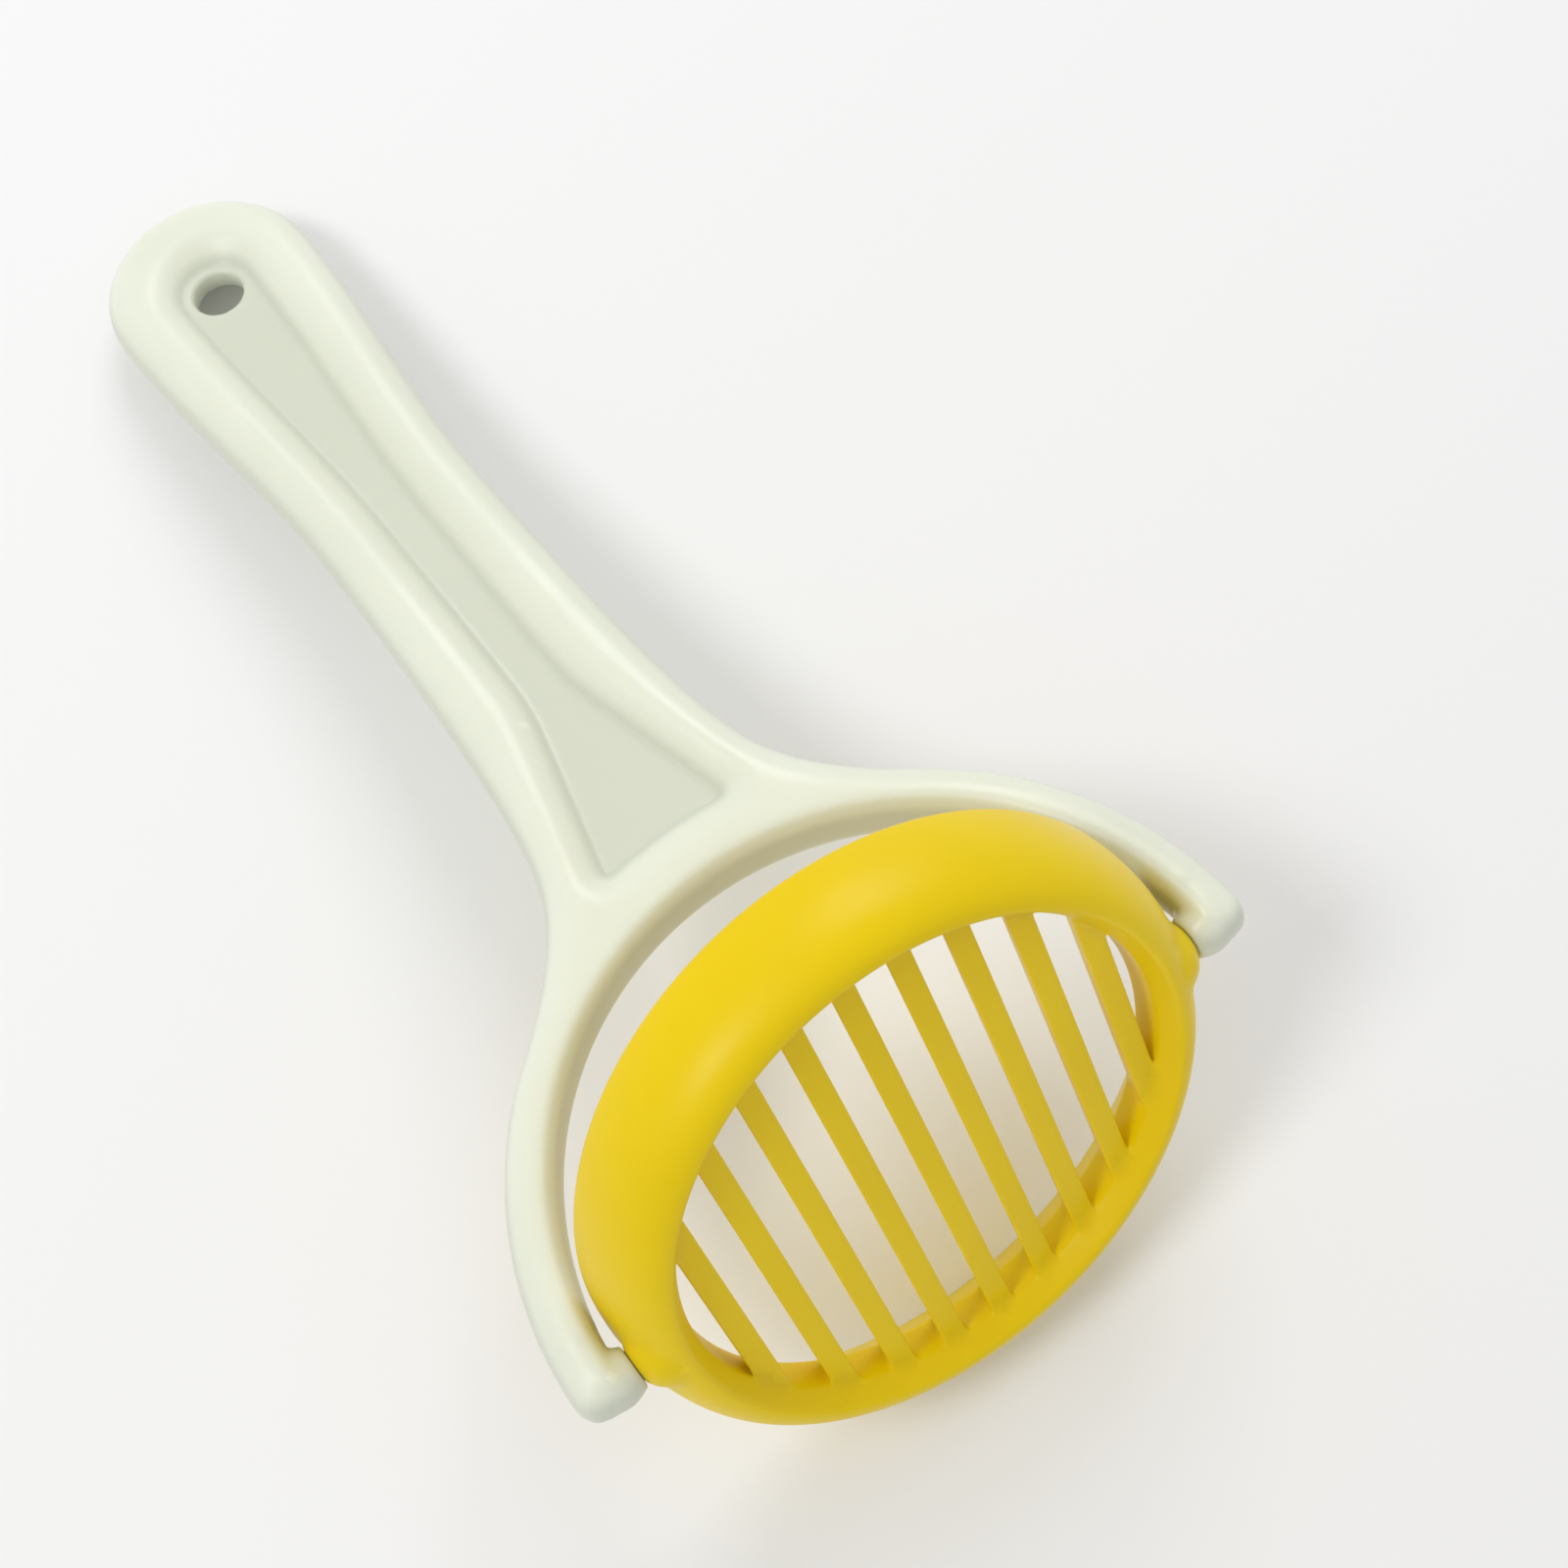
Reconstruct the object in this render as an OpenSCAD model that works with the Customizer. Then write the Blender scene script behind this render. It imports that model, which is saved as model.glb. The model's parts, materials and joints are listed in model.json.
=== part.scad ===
// Hand-held egg slicer: a round domed slicing head that turns between the arms of a forked handle.
// Two mouldings: the handle, with its pivot pins, and the slicing head, with its bars.
// The handle slopes down to its end, and the head stands on the edge of its rim, as on a table.

/* [Slicing head] */
// Distance from one slot's centre to the next
slot_pitch = 6.5; // [5.5:0.1:6.6]
// Number of slots, one more than the number of bars
slot_count = 10; // [6:1:10]
// Width of a slot on the smooth side
slot_w = 3.7; // [3:0.1:4.2]
// Width of a bar's cutting edge on the hollow side
bar_edge_w = 1; // [0.6:0.1:1.6]
// Thickness of the bars, and of the rim where the slots end
bar_t = 3.7; // [3:0.1:4.5]
// Radius of the round field that the slots fill
field_r = 29.9; // [29:0.1:30.2]
// Outer radius of the rim
rim_r = 36.6; // [36.2:0.1:36.7]
// Height of the rim's crest above the bars
crest_h = 2.8; // [2:0.1:3.2]
// Depth of the rim's lower edge below the smooth side of the bars
skirt_depth = 9.1; // [8.6:0.1:9.4]

/* [Handle] */
// Distance from the pivot axis to the centre of the rounded handle end
grip_len = 152.7; // [145:0.1:165]
// Radius of the rounded handle end
grip_end_r = 14.3; // [13.5:0.1:15.5]
// Half width of the grip at its narrowest
waist_half_w = 10.3; // [9.5:0.1:11]
// Thickness of the handle and its arms
handle_t = 8.5; // [8:0.1:9.5]
// Thickness of the thin web between the side beads
web_t = 3; // [2.4:0.1:4]
// Radius of the hanging hole
hole_r = 3.4; // [3:0.1:4]
// Inner radius of the fork
fork_r = 38; // [37.9:0.1:38.4]
// Outer radius of the fork
fork_outer_r = 44; // [43.6:0.1:45]

/* [Pivot] */
// Radius of the pins on the arms
pin_r = 1.8; // [1.5:0.05:2]
// Radial gap between a pin and its socket
pin_gap = 0.06; // [0.03:0.01:0.1]
// Radius of the shoulder behind each pin
shoulder_r = 2.6; // [2.3:0.1:3]
// Depth of the pivot axis below the smooth side of the bars
pivot_drop = 1.8; // [1.5:0.1:2.2]

/* [Stored pose] */
// Slope of the handle down to its end
handle_slope = 10.7; // [9:0.1:11.5]
// Turn of the head away from the handle's own plane
head_turn = 69; // [50:1:75]

/* [Hidden] */

$fn = 96;
overlap = 0.5;
reach = 60;

// rim section: an ellipse on the outside, a slope to the slots on the inside
rim_half_w = 4.9;
rim_centre_r = rim_r - rim_half_w;
rim_centre_z = -7;
rim_half_h = crest_h - rim_centre_z;
skirt_w = 0.8;
rim_foot_angle = asin((skirt_depth + rim_centre_z) / rim_half_h);
rim_foot_r = rim_centre_r + rim_half_w * cos(rim_foot_angle);
rim_steps = 16;
crest_blend = 0.8;

// pads that carry the pivot sockets
pad_r = 3;
pad_x = rim_r;
pad_len = 4.3;
socket_depth = 3.3;
pin_tip_gap = 0.5;
face_gap = 0.35;

// fork
arm_tip_r = (fork_outer_r - fork_r) / 2;
arm_tip_x = fork_r + arm_tip_r;

// grip outline: the flare into the fork and the swell towards the end
flare_y = 29.9;
flare_size = 20.2;
flare_unit = 6.5;
flare_power = 1.3;
end_blend = 0.4;
swell = grip_end_r - waist_half_w - end_blend;
swell_y = 102.7;
neck_y = 42.6;
neck_slope = 0.95;
grip_root_y = 36.5;
grip_steps = 48;

// side beads are rounded off in one step
edge_inset = 1.4;
bead_step = 1.65;
core_t = handle_t - 2 * bead_step;

// recessed panel on each face
hole_y = grip_len - 1.9;
panel_end_r = 4.8;
panel_waist_half_w = 2.4;
panel_widening_y = 70;
panel_widening_slope = 0.245;
panel_root_r = 46.5;
panel_root_y = 45;

// stored pose: the rim's edge and the handle's end touch the ground, and the origin is mid-length
head_slope = head_turn - handle_slope;
head_drop = rim_foot_r * sin(head_slope) + (skirt_depth - pivot_drop) * cos(head_slope);
end_drop = (grip_len + grip_end_r - edge_inset) * sin(handle_slope) + handle_t / 2 * cos(handle_slope);
pivot_z = max(head_drop, end_drop);
reach_front =
    rim_centre_r * cos(head_slope) + (rim_centre_z + pivot_drop) * sin(head_slope)
    + sqrt(pow(rim_half_w * cos(head_slope), 2) + pow(rim_half_h * sin(head_slope), 2));
reach_back = (grip_len + grip_end_r) * cos(handle_slope) + core_t / 2 * sin(handle_slope);
pivot_y = (reach_front - reach_back) / 2;

// smooth rise from 0 to 1
function ease(t) = let (k = min(1, max(0, t))) k * k * (3 - 2 * k);

// half width of the grip at a distance from the pivot
function grip_half_w(y) =
    waist_half_w
    + flare_size / pow((max(y, neck_y) - flare_y) / flare_unit, flare_power)
    + neck_slope * max(0, neck_y - y)
    + swell * ease((y - swell_y) / (grip_len - swell_y));

// half width of the recessed panel at a distance from the pivot
function panel_half_w(y) =
    panel_waist_half_w
    + panel_widening_slope * max(0, panel_widening_y - y)
    + (panel_end_r - panel_waist_half_w) * ease((y - swell_y) / (hole_y - swell_y));

// outline of the handle, drawn in by an inset
module handle_outline(inset) {
    ys = [for (i = [0 : grip_steps]) grip_root_y + (grip_len - grip_root_y) * i / grip_steps];
    right = [for (y = ys) [grip_half_w(y) - inset, y]];
    left = [for (i = [grip_steps : -1 : 0]) [-right[i][0], right[i][1]]];
    difference() {
        union() {
            polygon(concat(right, left));
            translate([0, grip_len]) circle(r = grip_end_r - inset);
            intersection() {
                circle(r = fork_outer_r - inset);
                translate([-reach, 0]) square([2 * reach, reach]);
            }
        }
        circle(r = fork_r + inset);
    }
    for (side = [-1, 1]) translate([side * arm_tip_x, 0]) circle(r = arm_tip_r - inset);
}

// outline of the recessed panel
module panel_outline() {
    ys = [for (i = [0 : grip_steps]) panel_root_y + (hole_y - panel_root_y) * i / grip_steps];
    right = [for (y = ys) [panel_half_w(y), y]];
    left = [for (i = [grip_steps : -1 : 0]) [-right[i][0], right[i][1]]];
    difference() {
        union() {
            polygon(concat(right, left));
            translate([0, hole_y]) circle(r = panel_end_r);
        }
        circle(r = panel_root_r);
    }
}

// handle with both arms and pins, in its own frame: pivot at the origin, flat in XY
module handle_body() {
    difference() {
        union() {
            linear_extrude(height = core_t, center = true) handle_outline(0);
            linear_extrude(height = handle_t, center = true) handle_outline(edge_inset);
        }
        for (side = [-1, 1]) {
            translate([0, 0, side * (web_t + handle_t) / 2]) {
                linear_extrude(height = handle_t, center = true) panel_outline();
            }
        }
        translate([0, hole_y, 0]) cylinder(r = hole_r, h = handle_t + 2 * overlap, center = true);
    }
    shoulder_x = pad_x + face_gap;
    pin_x = pad_x - socket_depth + pin_tip_gap;
    for (side = [-1, 1]) {
        rotate([0, side * 90, 0]) {
            translate([0, 0, shoulder_x]) cylinder(r = shoulder_r, h = arm_tip_x - shoulder_x);
            translate([0, 0, pin_x]) cylinder(r = pin_r, h = arm_tip_x - pin_x);
        }
    }
}

// the slots: narrow on the smooth side, wide on the hollow side, which leaves bars with a thin edge
module slots() {
    low_w = slot_pitch - bar_edge_w;
    intersection() {
        translate([0, 0, -bar_t - overlap]) cylinder(r = field_r, h = bar_t + crest_h + 2 * overlap);
        for (i = [0 : slot_count - 1]) {
            translate([(i - (slot_count - 1) / 2) * slot_pitch, 0, 0]) {
                rotate([90, 0, 0]) {
                    linear_extrude(height = 2 * field_r, center = true) {
                        polygon([
                            [-slot_w / 2, crest_h], [-slot_w / 2, 0], [-low_w / 2, -bar_t],
                            [-low_w / 2, -bar_t - overlap], [low_w / 2, -bar_t - overlap],
                            [low_w / 2, -bar_t], [slot_w / 2, 0], [slot_w / 2, crest_h]
                        ]);
                    }
                }
            }
        }
    }
}

// domed rim and bars, in the head's own frame: smooth side of the bars at z = 0
module head_shell() {
    flank = [
        for (i = [0 : rim_steps])
            let (a = -rim_foot_angle + (90 + rim_foot_angle) * i / rim_steps)
            [rim_centre_r + rim_half_w * cos(a), rim_centre_z + rim_half_h * sin(a)]
    ];
    difference() {
        rotate_extrude() {
            polygon(concat(
                [[0, 0], [0, -bar_t], [field_r, -bar_t], [rim_foot_r - skirt_w, -skirt_depth]],
                flank,
                [[field_r - crest_blend, 0]]
            ));
        }
        slots();
    }
}

// head with its pivot pads and sockets, pivot at the origin
module head_body() {
    difference() {
        union() {
            translate([0, 0, pivot_drop]) head_shell();
            for (side = [-1, 1]) {
                rotate([0, side * 90, 0]) {
                    translate([0, 0, pad_x - pad_len]) cylinder(r = pad_r, h = pad_len);
                }
            }
        }
        for (side = [-1, 1]) {
            rotate([0, side * 90, 0]) {
                translate([0, 0, pad_x - socket_depth]) {
                    cylinder(r = pin_r + pin_gap, h = socket_depth + overlap);
                }
            }
        }
    }
}

module handle() {
    color("ivory") translate([0, pivot_y, pivot_z]) rotate([-handle_slope, 0, 0]) handle_body();
}

module slicing_head() {
    color("gold") translate([0, pivot_y, pivot_z]) rotate([head_slope, 0, 0]) head_body();
}

handle();
slicing_head();
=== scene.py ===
"""Looks of the egg slicer: a moulded handle and a domed slicing head.

Both are smooth meshes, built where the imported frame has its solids."""
import json
import math

import bmesh
import bpy
import numpy as np
from mathutils import Matrix, Vector
from mathutils.geometry import delaunay_2d_cdt


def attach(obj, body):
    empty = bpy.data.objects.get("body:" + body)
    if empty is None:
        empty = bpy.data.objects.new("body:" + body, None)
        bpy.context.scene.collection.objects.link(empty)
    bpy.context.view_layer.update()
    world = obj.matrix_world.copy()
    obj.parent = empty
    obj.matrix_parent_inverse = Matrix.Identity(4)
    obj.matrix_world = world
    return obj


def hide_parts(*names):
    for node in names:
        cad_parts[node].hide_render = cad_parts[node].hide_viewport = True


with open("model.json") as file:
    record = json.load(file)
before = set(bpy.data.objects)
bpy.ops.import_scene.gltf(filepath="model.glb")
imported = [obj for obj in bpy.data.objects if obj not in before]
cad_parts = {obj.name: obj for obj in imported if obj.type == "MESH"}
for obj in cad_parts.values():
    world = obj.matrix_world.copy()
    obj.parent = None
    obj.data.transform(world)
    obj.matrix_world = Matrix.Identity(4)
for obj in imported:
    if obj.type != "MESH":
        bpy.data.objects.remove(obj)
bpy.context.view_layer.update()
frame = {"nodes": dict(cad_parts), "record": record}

MM = 0.001

# ---------------------------------------------------------------- places from the frame
joint = next(j for j in frame["record"]["behaviour"]["joints"] if j["name"] == "head_swivel")
hang_hole = next(m for m in frame["record"]["mounts"] if m["name"] == "hang_hole")
pivot = Vector(joint["pos_m"])
hole_centre = Vector(hang_hole["pos_m"])
hole_axis = Vector(hang_hole["axis"])
handle_slope = math.atan2(hole_axis.y, hole_axis.z)
head_turn = math.radians(69)

handle_frame = Matrix.Translation(pivot) @ Matrix.Rotation(-handle_slope, 4, "X")
head_frame = Matrix.Translation(pivot) @ Matrix.Rotation(head_turn - handle_slope, 4, "X")

# ---------------------------------------------------------------- handle sizes, millimetres
hole_y = (hole_centre - pivot).length / MM
hole_r = hang_hole["dims"]["r_mm"]
grip_len = hole_y + 1.9
grip_end_r = 14.3
waist_half_w = 10.3
handle_half_t = 4.25
web_half_t = hang_hole["dims"]["length_mm"] / 2
fork_r = 38.0
fork_outer_r = 44.0
arm_tip_r = (fork_outer_r - fork_r) / 2
arm_tip_x = fork_r + arm_tip_r
neck_y = 42.6
panel_end_r = 4.8
panel_waist_half_w = 2.4
panel_widening_y = 70.0
panel_root_r = 46.5
panel_root_y = 45.0
swell_y = 102.7

# ---------------------------------------------------------------- head sizes, millimetres
slot_pitch = 6.5
slot_count = 10
slot_w = 3.7
bar_edge_w = 1.0
bar_t = 3.7
field_r = 29.9
rim_r = 36.6
rim_half_w = 4.9
rim_centre_r = rim_r - rim_half_w
rim_centre_z = -7.0
crest_z = 2.8
skirt_depth = 9.1
skirt_w = 0.8
pivot_drop = 1.8
pad_r = 3.0
pad_len = 4.3
pin_r = 1.8
pin_gap = 0.06
pin_tip_gap = 0.5
socket_depth = 3.3
shoulder_r = 2.6
shoulder_gap = 0.12


def ease(t):
    t = np.clip(t, 0, 1)
    return t * t * (3 - 2 * t)


def grip_half_w(y):
    """Half width of the handle's grip: a flare at the fork, a waist and a swell at the end."""
    swell = grip_end_r - waist_half_w - 0.4
    flare = 20.2 / ((np.maximum(y, neck_y) - 29.9) / 6.5) ** 1.3 + 0.95 * np.maximum(0, neck_y - y)
    return waist_half_w + flare + swell * ease((y - swell_y) / (grip_len - swell_y))


def panel_half_w(y):
    """Half width of the recessed panel, with a soft start of its widening towards the fork."""
    widening = 0.5 * (panel_widening_y - y + np.hypot(panel_widening_y - y, 3))
    return (panel_waist_half_w + 0.24 * widening
            + (panel_end_r - panel_waist_half_w) * ease((y - swell_y) / (hole_y - swell_y)))


# ---------------------------------------------------------------- plane curves
def resample(points, step, closed=False):
    """Points at an even spacing along a polyline."""
    p = np.asarray(points, float)
    if closed:
        p = np.vstack([p, p[:1]])
    lengths = np.r_[0, np.cumsum(np.linalg.norm(np.diff(p, axis=0), axis=1))]
    count = max(8, int(round(lengths[-1] / step)))
    at = np.linspace(0, lengths[-1], count + 1)
    out = np.stack([np.interp(at, lengths, p[:, k]) for k in (0, 1)], -1)
    return out[:-1] if closed else out


def smooth_closed(p, rounds):
    for _ in range(rounds):
        p = p * 0.5 + (np.roll(p, 1, 0) + np.roll(p, -1, 0)) * 0.25
    return p


def normals_of(p):
    """Inward normals of a closed curve that runs anticlockwise."""
    t = np.roll(p, -1, 0) - np.roll(p, 1, 0)
    t /= np.linalg.norm(t, axis=1)[:, None]
    return np.stack([-t[:, 1], t[:, 0]], -1)


def distance_to_segments(points, a, b):
    """Distance from each point to the nearest of the segments from a to b."""
    d = b - a
    dd = (d * d).sum(1) + 1e-12
    best = np.empty(len(points))
    for start in range(0, len(points), 3000):
        w = points[start:start + 3000][:, None] - a[None]
        t = np.clip((w * d[None]).sum(-1) / dd[None], 0, 1)
        gap = w - t[..., None] * d[None]
        best[start:start + 3000] = np.sqrt((gap * gap).sum(-1).min(1))
    return best


def distance_to(points, curve):
    """Distance from each point to a closed curve."""
    return distance_to_segments(points, curve, np.roll(curve, -1, 0))


def inside(points, curve):
    """True for points inside a closed curve."""
    x, y = points[:, 0], points[:, 1]
    result = np.zeros(len(points), bool)
    a, b = curve, np.roll(curve, -1, 0)
    for (ax, ay), (bx, by) in zip(a, b):
        cross = (ay > y) != (by > y)
        result ^= cross & (x < (bx - ax) * (y - ay) / (by - ay + 1e-30) + ax)
    return result


def triangles_in(points, loops, keep):
    """Delaunay triangles of the points, with closed loops kept as edges; keep() says which centres count."""
    edges = []
    for loop in loops:
        edges += [(a, b) for a, b in zip(loop, loop[1:] + loop[:1])]
    coords, _, faces, origin, _, _ = delaunay_2d_cdt([Vector(p) for p in points], edges, [], 0, 1e-7)
    source = [o[0] if o else -1 for o in origin]
    xy = np.array([c[:] for c in coords])
    tri = np.array([f for f in faces if len(f) == 3 and all(source[i] >= 0 for i in f)])
    tri = tri[keep(xy[tri].mean(1))]
    a, b, c = xy[tri[:, 0]], xy[tri[:, 1]], xy[tri[:, 2]]
    area = (b[:, 0] - a[:, 0]) * (c[:, 1] - a[:, 1]) - (b[:, 1] - a[:, 1]) * (c[:, 0] - a[:, 0])
    tri[area < 0] = tri[area < 0][:, ::-1]
    tri = tri[np.abs(area) > 1e-6]
    return np.array(source)[tri]


def grid_points(low, high, step):
    """Points of a regular triangular lattice."""
    rows = []
    row_h = step * math.sqrt(3) / 2
    y, odd = low[1], False
    while y < high[1]:
        x = np.arange(low[0] + (step / 2 if odd else 0), high[0], step)
        rows.append(np.stack([x, np.full(len(x), y)], -1))
        y += row_h
        odd = not odd
    return np.vstack(rows)


def thin_out(points, fixed, gap):
    """Drops the points that are nearer than the gap to a fixed point or to an earlier point."""
    cells = {}
    kept = []

    def crowded(p):
        cx, cy = int(p[0] // gap), int(p[1] // gap)
        for i in (cx - 1, cx, cx + 1):
            for j in (cy - 1, cy, cy + 1):
                for q in cells.get((i, j), ()):
                    if (q[0] - p[0]) ** 2 + (q[1] - p[1]) ** 2 < gap * gap:
                        return True
        return False

    def add(p):
        cells.setdefault((int(p[0] // gap), int(p[1] // gap)), []).append(p)

    for p in fixed:
        add(p)
    for p in points:
        if not crowded(p):
            add(p)
            kept.append(p)
    return np.array(kept)


def make_object(name, verts, faces, place):
    mesh = bpy.data.meshes.new(name)
    mesh.from_pydata([tuple(v) for v in verts], [], [tuple(int(i) for i in f) for f in faces])
    mesh.validate()
    mesh.transform(place @ Matrix.Scale(MM, 4))
    obj = bpy.data.objects.new(name, mesh)
    bpy.context.scene.collection.objects.link(obj)
    for p in mesh.polygons:
        p.use_smooth = True
    return obj


def lathe(name, profile, place, steps=64):
    """Solid of revolution about Z from (radius, z) points; a radius of 0 closes it with a point."""
    verts, faces, rings = [], [], []
    for r, z in profile:
        if r < 1e-9:
            rings.append([len(verts)] * steps)
            verts.append((0, 0, z))
        else:
            rings.append(list(range(len(verts), len(verts) + steps)))
            verts += [(r * math.cos(2 * math.pi * k / steps), r * math.sin(2 * math.pi * k / steps), z)
                      for k in range(steps)]
    for a, b in zip(rings, rings[1:]):
        for k in range(steps):
            n = (k + 1) % steps
            quad = [a[k], a[n], b[n], b[k]]
            face = [v for i, v in enumerate(quad) if v not in quad[:i]]
            if len(face) > 2:
                faces.append(face)
    return make_object(name, verts, faces, place)


def cut(obj, other, operation):
    """Applies an exact boolean to obj and removes the other object."""
    modifier = obj.modifiers.new("cut", "BOOLEAN")
    modifier.operation = operation
    modifier.solver = "EXACT"
    modifier.object = other
    bpy.context.view_layer.update()
    evaluated = obj.evaluated_get(bpy.context.evaluated_depsgraph_get())
    mesh = bpy.data.meshes.new_from_object(evaluated)
    obj.modifiers.clear()
    old = obj.data
    obj.data = mesh
    bpy.data.meshes.remove(old)
    other_mesh = other.data
    bpy.data.objects.remove(other)
    bpy.data.meshes.remove(other_mesh)


def fix_normals(obj):
    b = bmesh.new()
    b.from_mesh(obj.data)
    bmesh.ops.remove_doubles(b, verts=b.verts, dist=1e-7)
    bmesh.ops.dissolve_degenerate(b, edges=b.edges, dist=1e-7)
    bmesh.ops.recalc_face_normals(b, faces=b.faces)
    for f in b.faces:
        f.smooth = True
    b.to_mesh(obj.data)
    b.free()


def soften(obj, place, chosen, rounds):
    """Rounds off the joint of two shapes; chosen() picks its vertices, in the place's own millimetres."""
    b = bmesh.new()
    b.from_mesh(obj.data)
    back = (place @ Matrix.Scale(MM, 4)).inverted()
    verts = [v for v in b.verts if chosen(back @ v.co)]
    for _ in range(rounds):
        bmesh.ops.smooth_vert(b, verts=verts, factor=0.5, use_axis_x=True, use_axis_y=True, use_axis_z=True)
    b.to_mesh(obj.data)
    b.free()


# ---------------------------------------------------------------- handle
def arc(radius, start, end, count, x=0.0, y=0.0):
    """Points of an arc about (x, y), angles in radians."""
    a = np.linspace(start, end, count)
    return np.stack([x + radius * np.cos(a), y + radius * np.sin(a)], -1)


def handle_curves():
    """The outline, anticlockwise, with its inner part (the fork's arc) marked, and the panel's outline."""
    root_y = 36.5
    inner = arc(fork_r, math.pi / 2, 0, 90)
    tip = arc(arm_tip_r, math.pi, 2 * math.pi, 40, arm_tip_x)[1:-1]
    outer = arc(fork_outer_r, 0, math.asin(root_y / fork_outer_r), 70)
    side_y = np.linspace(root_y, grip_len, 150)[1:]
    side = np.stack([grip_half_w(side_y), side_y], -1)
    cap = arc(grip_end_r, 0.02, math.pi / 2, 40, 0, grip_len)
    right = np.vstack([inner, tip, outer, side, cap])
    on_fork = len(inner) + len(tip) // 2
    marks = np.r_[np.ones(on_fork), np.zeros(len(right) - on_fork)]
    lengths = np.r_[0, np.cumsum(np.linalg.norm(np.diff(right, axis=0), axis=1))]
    at = np.linspace(0, lengths[-1], int(lengths[-1] / 0.5))
    right = np.stack([np.interp(at, lengths, right[:, k]) for k in (0, 1)], -1)
    marks = np.interp(at, lengths, marks) > 0.5
    left = right[::-1] * (-1, 1)
    outline = np.vstack([right, left[1:-1]])
    marks = np.r_[marks, marks[::-1][1:-1]]
    neck_x = float(grip_half_w(neck_y))
    from_neck = np.hypot(np.abs(outline[:, 0]) - neck_x - 2, outline[:, 1] - neck_y + 2)
    near = np.exp(-(from_neck / 9) ** 4)[:, None] * ~marks[:, None]
    for _ in range(120):
        smooth = outline * 0.5 + (np.roll(outline, 1, 0) + np.roll(outline, -1, 0)) * 0.25
        outline = outline * (1 - near) + smooth * near
    outline = smooth_closed(outline, 2)

    ys = np.linspace(panel_root_y, hole_y, 120)
    edge = np.stack([panel_half_w(ys), ys], -1)
    edge = edge[np.hypot(edge[:, 0], edge[:, 1]) > panel_root_r]
    foot = math.atan2(edge[0, 1], edge[0, 0])
    low = arc(panel_root_r, math.pi / 2, foot, 16)
    round_end = arc(panel_end_r, 0.05, math.pi / 2, 16, 0, hole_y)
    right = np.vstack([low[:-1], edge, round_end])
    panel = np.vstack([right, (right[::-1] * (-1, 1))[1:-1]])
    panel = smooth_closed(resample(panel, 0.5, closed=True), 4)
    return outline, marks, panel


def rise(distance, reach, power=2.0):
    """Superelliptic rise from 0 at an edge to 1 at the reach."""
    t = np.clip(distance / reach, 0, 1)
    return (1 - (1 - t) ** power) ** (1 / power)


def handle_half_thickness(points, outline, marks, panel, on_edge):
    """Half thickness at points of the plan: round outer edges, a steeper fork wall, a web in the panel."""
    after = np.roll(outline, -1, 0)
    fork_part = marks & np.roll(marks, -1)
    d_outer = distance_to_segments(points, outline[~fork_part], after[~fork_part])
    d_inner = distance_to_segments(points, outline[fork_part], after[fork_part])
    d_panel = distance_to(points, panel)
    d_panel[inside(points, panel)] = 0
    to_arm = ease((44 - points[:, 1]) / 14)
    lack_outer = 1 - rise(d_outer, 4.6 - 0.4 * to_arm)
    lack_inner = 1 - rise(d_inner, 1.9, 2.5)
    bank = 0.6 * rise(np.hypot(d_panel, 0.35) - 0.35, 4.2) + 0.4 * ease(d_panel / 4.2)
    lack_panel = (1 - web_half_t / handle_half_t) * (1 - bank)
    power = 2.2
    lack = (lack_outer ** power + lack_inner ** power + lack_panel ** power) ** (1 / power)
    least = 0.3 * rise(np.minimum(d_outer, d_inner), 1.5)
    z = handle_half_t * np.maximum(least, 1 - lack)
    z[on_edge] = 0
    lip = 0.5
    hole_gap = np.hypot(points[:, 0], points[:, 1] - hole_y) - hole_r
    near = np.clip(lip - hole_gap, 0, lip)
    return np.maximum(0, z - (lip - np.sqrt(lip * lip - near * near)))


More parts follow.
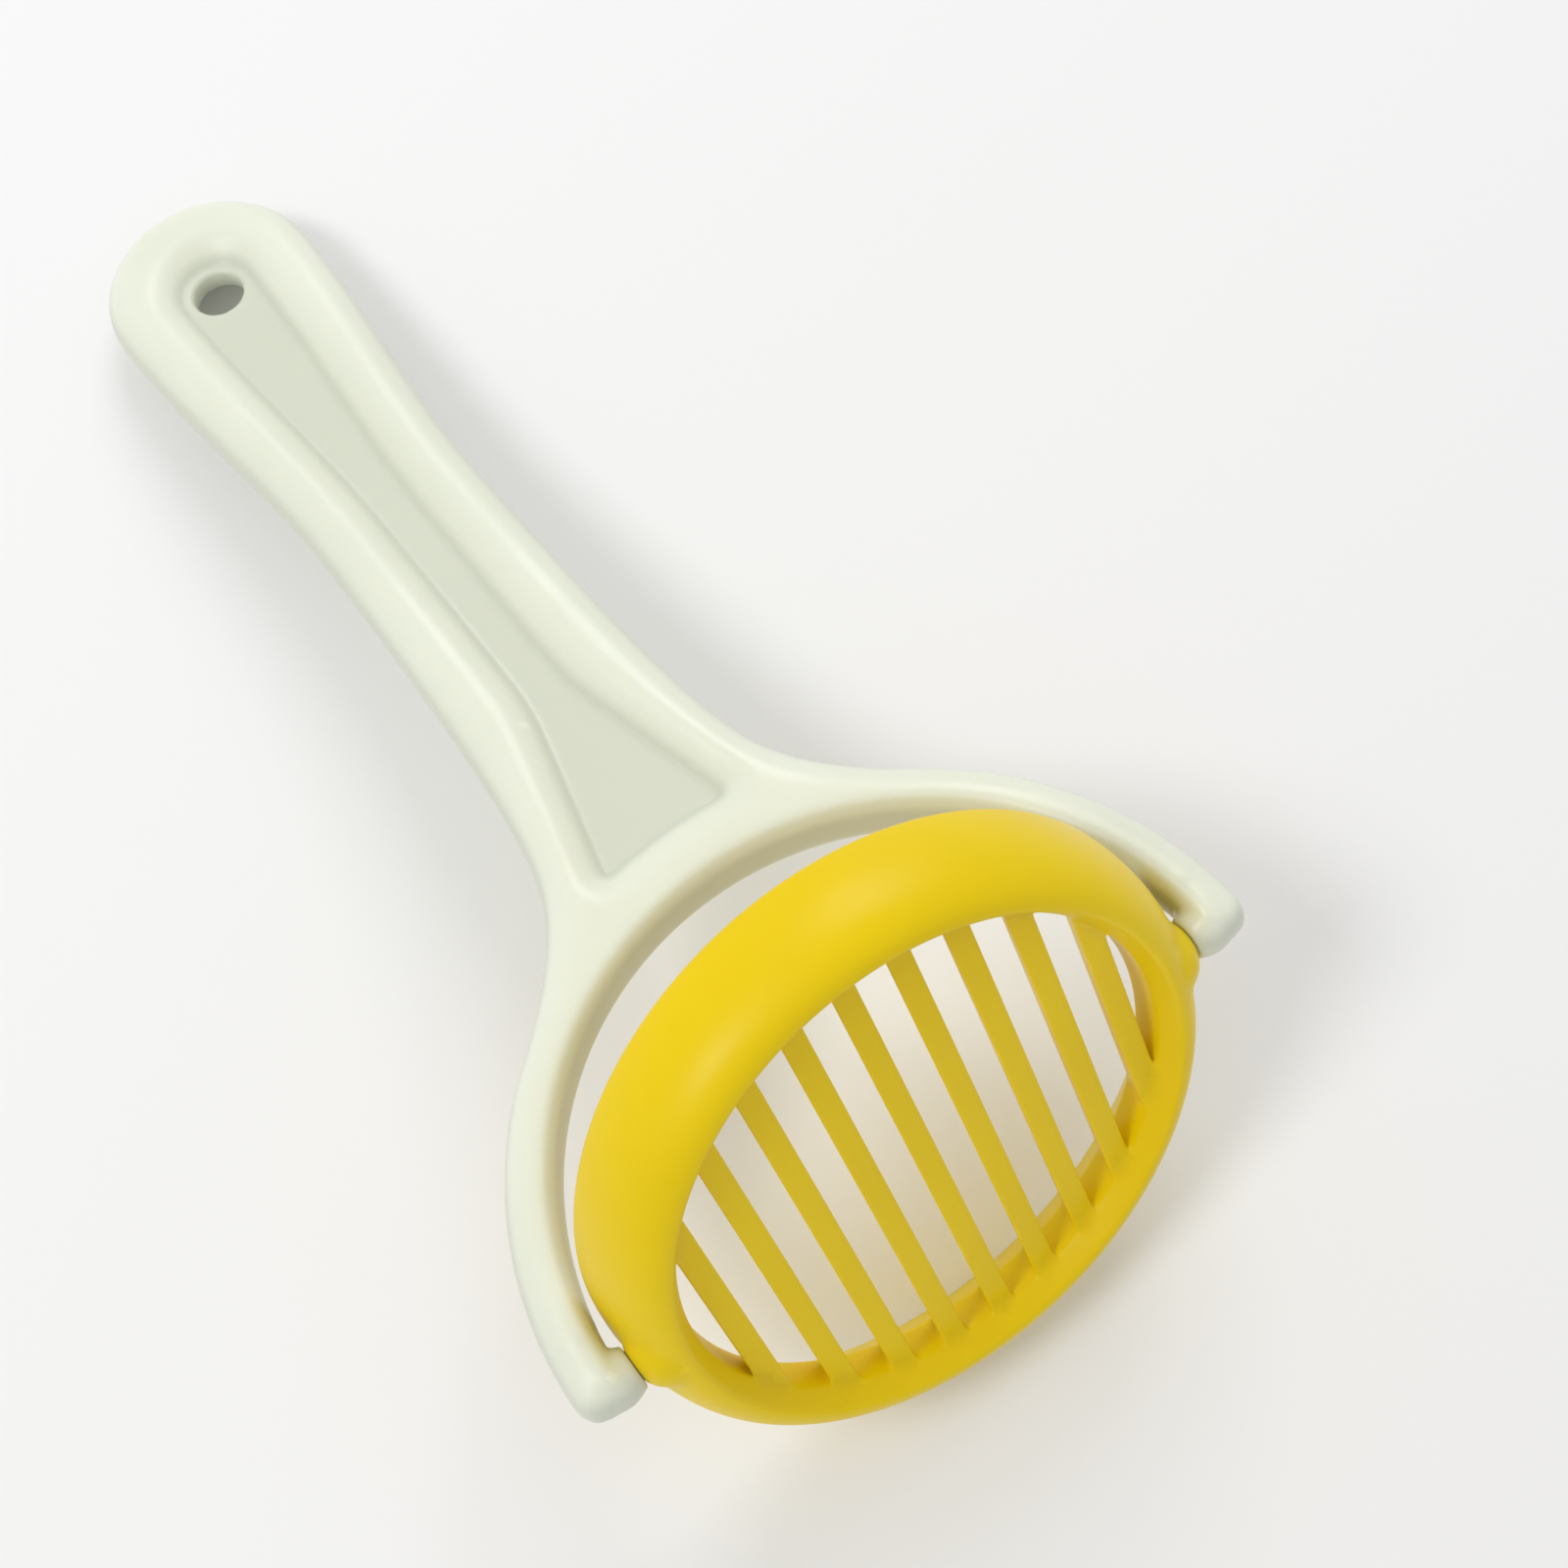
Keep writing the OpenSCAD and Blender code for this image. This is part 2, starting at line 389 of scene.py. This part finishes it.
def build_handle():
    outline, marks, panel = handle_curves()
    inward = normals_of(outline)
    depths = [0, 0.015, 0.06, 0.14, 0.26, 0.42, 0.62, 0.86, 1.14, 1.45]
    rings = [outline + inward * d for d in depths]
    n = len(outline)
    last = rings[-1]
    hole_steps = 64
    angles = np.linspace(0, 2 * math.pi, hole_steps, endpoint=False)
    hole_rings = [np.stack([r * np.cos(angles), hole_y + r * np.sin(angles)], -1)
                  for r in (hole_r, hole_r + 0.06, hole_r + 0.2, hole_r + 0.5)]
    panel_normals = normals_of(panel)
    creases = [panel + panel_normals * d for d in (-1.6, -1.15, -0.75, -0.42, -0.16, 0, 0.2, 0.6, 1.1)]
    lattice = grid_points((-60, -10), (60, grip_len + 20), 0.62)
    loose = np.vstack([*hole_rings[1:], *creases, lattice])
    loose = loose[inside(loose, last)]
    away = np.hypot(loose[:, 0], loose[:, 1] - hole_y) > hole_r + 0.05
    loose = loose[away]
    loose = loose[distance_to(loose, last) > 0.25]
    loose = thin_out(loose, np.vstack([last, hole_rings[0]]), 0.2)
    crowd = distance_to(loose, panel) < 1.7
    lattice_part = thin_out(loose[~crowd], np.vstack([last, loose[crowd]]), 0.38)
    loose = np.vstack([loose[crowd], lattice_part])
    plane = np.vstack([last, hole_rings[0], loose])
    loops = [list(range(n)), list(range(n, n + hole_steps))]

    def keep(centres):
        out_of_hole = np.hypot(centres[:, 0], centres[:, 1] - hole_y) > hole_r * 0.999
        return inside(centres, last) & out_of_hole

    tri = triangles_in(plane, loops, keep)
    plan = np.vstack([*rings[:-1], plane])
    base = n * (len(rings) - 1)
    on_edge = np.zeros(len(plan), bool)
    on_edge[:n] = True
    z = handle_half_thickness(plan, outline, marks, panel, on_edge)
    top = np.column_stack([plan, z])
    bottom = np.column_stack([plan, -z])
    count = len(plan)
    verts = np.vstack([top, bottom])

    def low(i):
        return i if i < n else i + count

    faces = []
    for j in range(len(rings) - 1):
        for k in range(n):
            m = (k + 1) % n
            a, b, c, d = j * n + k, j * n + m, (j + 1) * n + m, (j + 1) * n + k
            faces.append((a, b, c, d))
            faces.append((low(d), low(c), low(b), low(a)))
    for a, b, c in tri + base:
        faces.append((a, b, c))
        faces.append((low(c), low(b), low(a)))
    ring_start = base + n
    for k in range(hole_steps):
        m = (k + 1) % hole_steps
        a, b = ring_start + k, ring_start + m
        faces.append((a, b, low(b), low(a)))
    handle = make_object("handle_moulding", verts, faces, handle_frame)
    fix_normals(handle)
    soften(handle, handle_frame, lambda p: abs(p.z) > 1.2, 2)
    shoulder_x = rim_r + shoulder_gap
    pin_x = rim_r - socket_depth + pin_tip_gap
    for side in (-1, 1):
        axis = handle_frame @ Matrix.Rotation(side * math.pi / 2, 4, "Y")
        profile = [(0, pin_x), (pin_r - 0.3, pin_x), (pin_r, pin_x + 0.3), (pin_r, shoulder_x),
                   (shoulder_r - 0.4, shoulder_x), (shoulder_r - 0.1, shoulder_x + 0.1),
                   (shoulder_r + 0.1, shoulder_x + 0.4), (shoulder_r + 0.35, shoulder_x + 0.9),
                   (shoulder_r + 0.6, shoulder_x + 1.5), (shoulder_r + 0.75, shoulder_x + 2.1),
                   (shoulder_r + 0.75, shoulder_x + 2.7), (shoulder_r + 0.5, shoulder_x + 3.5),
                   (shoulder_r - 0.2, shoulder_x + 4.3), (0, shoulder_x + 5)]
        pin = lathe("pin", profile, axis, 48)
        fix_normals(pin)
        cut(handle, pin, "UNION")

    def tip(p):
        return shoulder_x + 0.2 < abs(p.x) < 42.6 and 2.2 < math.hypot(p.y, p.z) < 6

    soften(handle, handle_frame, tip, 10)
    return handle


# ---------------------------------------------------------------- slicing head
def head_top(r):
    """Height of the smooth side at a radius, up to the rim's crest."""
    start = field_r - 0.6
    return crest_z * ease((r - start) / (rim_centre_r - start))


def head_under(r):
    """Height of the hollow side at a radius."""
    foot_r = rim_foot()[0] - skirt_w
    slope = (r - field_r) / (foot_r - field_r) * (skirt_depth - bar_t)
    return np.where(r < field_r, -bar_t, -bar_t - slope)


def rim_foot():
    angle = math.asin((skirt_depth + rim_centre_z) / (crest_z - rim_centre_z))
    return rim_centre_r + rim_half_w * math.cos(angle), angle


def slot_loop(k, half_w, end_r):
    """Closed outline of one slot, anticlockwise; the number of points doesn't depend on the sizes."""
    centre = (k - (slot_count - 1) / 2) * slot_pitch
    side_steps, end_steps = 60, 14
    low_x, high_x = centre - half_w, centre + half_w
    if k in (0, slot_count - 1):
        flip = 1 if k else -1
        x = low_x if k else -high_x
        y = math.sqrt(end_r ** 2 - x ** 2)
        a = math.atan2(y, x)
        side = [(x, y - 2 * y * t) for t in np.linspace(0, 1, 25, endpoint=False)]
        bow = [(end_r * math.cos(t), end_r * math.sin(t)) for t in np.linspace(-a, a, 25, endpoint=False)]
        loop = np.array(side + bow) * (flip, 1)
        loop = loop if k else loop[::-1]
    else:
        def end(x):
            return math.sqrt(end_r ** 2 - x ** 2)
        right = [(high_x, -end(high_x) + 2 * end(high_x) * t)
                 for t in np.linspace(0, 1, side_steps, endpoint=False)]
        top = [(x, end(x)) for x in np.linspace(high_x, low_x, end_steps, endpoint=False)]
        left = [(low_x, end(low_x) - 2 * end(low_x) * t)
                for t in np.linspace(0, 1, side_steps, endpoint=False)]
        bottom = [(x, -end(x)) for x in np.linspace(low_x, high_x, end_steps, endpoint=False)]
        loop = np.array(right + top + left + bottom)
    return smooth_closed(loop, 2)


def build_head():
    plate_r = 31.0
    steps = 240
    angles = np.linspace(0, 2 * math.pi, steps, endpoint=False)
    circle = np.stack([plate_r * np.cos(angles), plate_r * np.sin(angles)], -1)
    top_e, low_e = 0.22, 0.2
    low_half_w = (slot_pitch - bar_edge_w) / 2
    half_w = slot_w / 2
    verts, faces = [], []

    def add(points):
        start = len(verts)
        verts.extend(map(tuple, points))
        return list(range(start, start + len(points)))

    def plate(loops, height, upside):
        """Triangulates the plate around the slots; returns the ring and the slots' vertex numbers."""
        points = [circle] + loops
        index, at = [], 0
        for p in points:
            index.append(list(range(at, at + len(p))))
            at += len(p)
        fixed = np.vstack(points)
        lattice = grid_points((-plate_r, -plate_r), (plate_r, plate_r), 0.95)
        lattice = lattice[np.hypot(lattice[:, 0], lattice[:, 1]) < plate_r - 0.3]
        ring_radii = (30.7, 30.4, 30.1, 29.8, 29.5, 29.2)
        rims = [np.stack([r * np.cos(angles), r * np.sin(angles)], -1) for r in ring_radii]
        lattice = np.vstack([*rims, lattice])
        for loop in loops:
            lattice = lattice[~inside(lattice, loop)]
        lattice = thin_out(lattice, fixed, 0.4)
        plane = np.vstack([fixed, lattice])

        def keep(centres):
            ok = np.hypot(centres[:, 0], centres[:, 1]) < plate_r
            for loop in loops:
                ok &= ~inside(centres, loop)
            return ok

        tri = triangles_in(plane, index, keep)
        z = height(np.hypot(plane[:, 0], plane[:, 1]))
        numbers = np.array(add(np.column_stack([plane, z])))
        for a, b, c in tri:
            face = (numbers[a], numbers[b], numbers[c])
            faces.append(face if upside else face[::-1])
        return [[numbers[i] for i in loop] for loop in index]

    top_loops = [slot_loop(k, half_w + top_e, field_r + top_e) for k in range(slot_count)]
    low_loops = [slot_loop(k, low_half_w + 0.06, field_r + low_e) for k in range(slot_count)]
    upper = plate(top_loops, head_top, True)
    lower = plate(low_loops, head_under, False)

    for k in range(slot_count):
        rows = [upper[k + 1]]
        for t in (0.35, 0.7, 1.05, math.pi / 2):
            spread, drop = top_e * (1 - math.sin(t)), top_e * (1 - math.cos(t))
            loop = slot_loop(k, half_w + spread, field_r + spread)
            rows.append(add(np.column_stack([loop, head_top(np.hypot(loop[:, 0], loop[:, 1])) - drop])))
        for t in (0.3, 0.65, 0.94):
            loop = slot_loop(k, half_w + (low_half_w - half_w) * t, field_r)
            z = (head_top(np.hypot(loop[:, 0], loop[:, 1])) - top_e) * (1 - t) - bar_t * t
            rows.append(add(np.column_stack([loop, z])))
        loop = slot_loop(k, low_half_w + 0.02, field_r + 0.06)
        rows.append(add(np.column_stack([loop, np.full(len(loop), -bar_t + 0.05)])))
        rows.append(lower[k + 1])
        for a, b in zip(rows, rows[1:]):
            for i in range(len(a)):
                j = (i + 1) % len(a)
                faces.append((a[i], a[j], b[j], b[i]))

    foot_r, foot_angle = rim_foot()
    profile = [(r, float(head_top(r))) for r in np.linspace(plate_r, rim_centre_r, 4)[1:]]
    rim_half_h = crest_z - rim_centre_z
    profile += [(rim_centre_r + rim_half_w * math.cos(a), rim_centre_z + rim_half_h * math.sin(a))
                for a in np.linspace(math.pi / 2, -foot_angle + 0.03, 34)[1:]]
    lip = skirt_w / 2
    profile += [(foot_r - lip + lip * math.cos(a), -skirt_depth + lip * 0.8 - lip * 0.8 * math.sin(a))
                for a in np.linspace(0.25, math.pi - 0.1, 9)]
    foot_in = foot_r - skirt_w
    profile += [(r, float(head_under(np.array(r)))) for r in np.linspace(foot_in - 0.1, plate_r, 9)[:-1]]
    rows = [upper[0]]
    for r, z in profile:
        rows.append(add(np.stack([r * np.cos(angles), r * np.sin(angles), np.full(steps, z)], -1)))
    rows.append(lower[0])
    for a, b in zip(rows, rows[1:]):
        for i in range(steps):
            j = (i + 1) % steps
            faces.append((a[i], b[i], b[j], a[j]))
    place = head_frame @ Matrix.Translation((0, 0, pivot_drop * MM))
    head = make_object("slicing_head_moulding", verts, faces, place)
    fix_normals(head)
    for side in (-1, 1):
        axis = head_frame @ Matrix.Rotation(side * math.pi / 2, 4, "Y")
        profile = [(0, rim_r - pad_len), (pad_r + 1.4, rim_r - pad_len), (pad_r + 1.4, rim_r - 2.6),
                   (pad_r + 1.3, rim_r - 2.1), (pad_r + 1.05, rim_r - 1.6), (pad_r + 0.7, rim_r - 1.1),
                   (pad_r + 0.3, rim_r - 0.7), (pad_r - 0.1, rim_r - 0.38), (pad_r - 0.5, rim_r - 0.15),
                   (pad_r - 0.9, rim_r - 0.03), (pad_r - 1, rim_r), (0, rim_r)]
        pad = lathe("pad", profile, axis, 96)
        fix_normals(pad)
        cut(head, pad, "UNION")

    def pad_joint(p):
        return 33 < abs(p.x) < rim_r - 0.04 and math.hypot(p.y, p.z) < 6.5

    soften(head, head_frame, pad_joint, 12)
    for side in (-1, 1):
        axis = head_frame @ Matrix.Rotation(side * math.pi / 2, 4, "Y")
        socket_r = pin_r + pin_gap
        socket_x = rim_r - socket_depth
        profile = [(0, socket_x), (socket_r, socket_x), (socket_r, rim_r + 1), (0, rim_r + 1)]
        socket = lathe("socket", profile, axis, 64)
        fix_normals(socket)
        cut(head, socket, "DIFFERENCE")
    return head


# ---------------------------------------------------------------- materials
def plastic(name, base, shade, painted_crease_shade, roughness, subsurface, radius, bump, wear, painted_web_shade=None):
    """Moulded plastic: soft drift of colour and roughness, a fine flow texture and slightly lighter edges,
    with painted shade darkening the creases and hollows.

    The last colour, if given, is painted shade near the handle's middle plane, where the web lets the
    floor's shade through; it also greys the middle of the handle's outer walls slightly."""
    material = bpy.data.materials.new(name)
    material.use_nodes = True
    nodes, links = material.node_tree.nodes, material.node_tree.links
    nodes.clear()
    out = nodes.new("ShaderNodeOutputMaterial")
    shader = nodes.new("ShaderNodeBsdfPrincipled")
    links.new(shader.outputs["BSDF"], out.inputs["Surface"])
    place = nodes.new("ShaderNodeTexCoord")

    def noise(scale, detail, rough):
        node = nodes.new("ShaderNodeTexNoise")
        node.inputs["Scale"].default_value = scale
        node.inputs["Detail"].default_value = detail
        node.inputs["Roughness"].default_value = rough
        links.new(place.outputs["Object"], node.inputs["Vector"])
        return node

    def ramp(source, low, high, low_value, high_value):
        node = nodes.new("ShaderNodeMapRange")
        node.interpolation_type = "SMOOTHSTEP"
        node.inputs["From Min"].default_value = low
        node.inputs["From Max"].default_value = high
        node.inputs["To Min"].default_value = low_value
        node.inputs["To Max"].default_value = high_value
        links.new(source, node.inputs["Value"])
        return node.outputs["Result"]

    def mix(factor, a, b):
        node = nodes.new("ShaderNodeMix")
        node.data_type = "RGBA"
        links.new(factor, node.inputs["Factor"])
        for value, socket in ((a, node.inputs["A"]), (b, node.inputs["B"])):
            if isinstance(value, tuple):
                socket.default_value = (*value, 1)
            else:
                links.new(value, socket)
        return node.outputs["Result"]

    drift = noise(28, 3, 0.5)
    colour = mix(ramp(drift.outputs["Fac"], 0.35, 0.68, 0, 1), base, shade)
    # painted shade: the colour turns greyer within 1.5 mm of the handle's middle plane, fading out by 3.2
    # mm, for the floor's shade seen through the thin web
    if painted_web_shade:
        across = handle_frame.to_3x3().col[2]
        height = nodes.new("ShaderNodeVectorMath")
        height.operation = "DOT_PRODUCT"
        links.new(place.outputs["Object"], height.inputs[0])
        height.inputs[1].default_value = across
        level = nodes.new("ShaderNodeMath")
        level.operation = "SUBTRACT"
        links.new(height.outputs["Value"], level.inputs[0])
        level.inputs[1].default_value = across.dot(pivot)
        gap = nodes.new("ShaderNodeMath")
        gap.operation = "ABSOLUTE"
        links.new(level.outputs["Value"], gap.inputs[0])
        colour = mix(ramp(gap.outputs["Value"], 0.0015, 0.0032, 1, 0), colour, painted_web_shade)
    edge = nodes.new("ShaderNodeNewGeometry")
    # painted shade: the colour turns darker where the surface is concave, in creases and hollows
    colour = mix(ramp(edge.outputs["Pointiness"], 0.5, 0.44, 0, 0.4), colour, painted_crease_shade)
    worn = tuple(min(1, c * 1.15) for c in base)
    colour = mix(ramp(edge.outputs["Pointiness"], 0.53, 0.6, 0, wear), colour, worn)
    links.new(colour, shader.inputs["Base Color"])

    grain = noise(900, 4, 0.6)
    flow = noise(60, 2, 0.4)
    gloss = ramp(flow.outputs["Fac"], 0.3, 0.7, roughness - 0.05, roughness + 0.07)
    links.new(gloss, shader.inputs["Roughness"])
    fine = nodes.new("ShaderNodeBump")
    fine.inputs["Strength"].default_value = bump
    fine.inputs["Distance"].default_value = 0.00004
    links.new(grain.outputs["Fac"], fine.inputs["Height"])
    wave = nodes.new("ShaderNodeBump")
    wave.inputs["Strength"].default_value = bump
    wave.inputs["Distance"].default_value = 0.0004
    links.new(flow.outputs["Fac"], wave.inputs["Height"])
    links.new(fine.outputs["Normal"], wave.inputs["Normal"])
    links.new(wave.outputs["Normal"], shader.inputs["Normal"])
    shader.inputs["Subsurface Weight"].default_value = subsurface
    shader.inputs["Subsurface Radius"].default_value = radius
    shader.inputs["Subsurface Scale"].default_value = 0.002
    shader.inputs["IOR"].default_value = 1.49
    return material


# the handle's last colour is painted shade near its middle plane, seen through the thin web
# the third colour of each plastic is painted shade for creases and hollows
ivory = plastic("handle_plastic", (0.83, 0.86, 0.73), (0.80, 0.83, 0.70), (0.66, 0.69, 0.55),
                0.34, 0.4, (1.0, 0.95, 0.7), 0.1, 0.5, (0.68, 0.71, 0.59))
yellow = plastic("head_plastic", (0.88, 0.64, 0.0), (0.84, 0.60, 0.0), (0.62, 0.40, 0.0),
                 0.36, 0.06, (1.0, 0.6, 0.05), 0.1, 0.4)
yellow.node_tree.nodes["Principled BSDF"].inputs["Specular IOR Level"].default_value = 0.22

handle = build_handle()
handle.data.materials.append(ivory)
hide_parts("handle")
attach(handle, "handle")

head = build_head()
head.data.materials.append(yellow)
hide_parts("slicing_head")
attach(head, "slicing_head")

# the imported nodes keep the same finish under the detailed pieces
for node, material in (("handle", ivory), ("slicing_head", yellow)):
    slots = frame["nodes"][node].material_slots
    for s in slots:
        s.material = material

# ---------------------------------------------------------------- floor, lights and camera
def pale_floor():
    material = bpy.data.materials.new("pale_floor")
    material.use_nodes = True
    shader = material.node_tree.nodes["Principled BSDF"]
    shader.inputs["Base Color"].default_value = (0.92, 0.92, 0.92, 1)
    shader.inputs["Roughness"].default_value = 0.9
    mesh = bpy.data.meshes.new("floor")
    mesh.from_pydata([(-4, -4, 0), (4, -4, 0), (4, 4, 0), (-4, 4, 0)], [], [(0, 1, 2, 3)])
    floor = bpy.data.objects.new("floor", mesh)
    mesh.materials.append(material)
    bpy.context.scene.collection.objects.link(floor)


def soft_light(name, place, target, size, power, colour=(1, 1, 1)):
    data = bpy.data.lights.new(name, "AREA")
    data.shape = "DISK"
    data.size = size
    data.energy = power
    data.color = colour
    lamp = bpy.data.objects.new(name, data)
    lamp.location = place
    lamp.rotation_euler = (Vector(target) - Vector(place)).to_track_quat("-Z", "Y").to_euler()
    bpy.context.scene.collection.objects.link(lamp)


pale_floor()
world = bpy.data.worlds.new("studio")
world.use_nodes = True
world.node_tree.nodes["Background"].inputs["Color"].default_value = (1, 1, 1, 1)
world.node_tree.nodes["Background"].inputs["Strength"].default_value = 0.6
bpy.context.scene.world = world


def photo_camera():
    """Looks down on the slicer from above the head, with the handle running to the upper left."""
    data = bpy.data.cameras.new("camera")
    data.sensor_width = 36
    data.lens = 51
    data.clip_start = 0.01
    camera = bpy.data.objects.new("camera", data)
    down, heading, roll = math.radians(71.5), math.radians(35.4), math.radians(1.9)
    turn = (Matrix.Rotation(-heading, 4, "Z") @ Matrix.Rotation(math.pi / 2 - down, 4, "X")
            @ Matrix.Rotation(-roll, 4, "Z"))
    camera.matrix_world = Matrix.Translation(pivot + Vector((-32.0, -23.0, 232.5)) * MM) @ turn
    bpy.context.scene.collection.objects.link(camera)
    bpy.context.scene.camera = camera


photo_camera()
bpy.context.scene.view_settings.view_transform = "Standard"
middle = Vector((0, 0, 0.02))
soft_light("key_light", (-0.55, 0.15, 0.85), middle, 0.35, 2.8)
soft_light("fill_light", (0.5, 0.6, 0.7), middle, 0.6, 3.0)

bpy.context.view_layer.update()
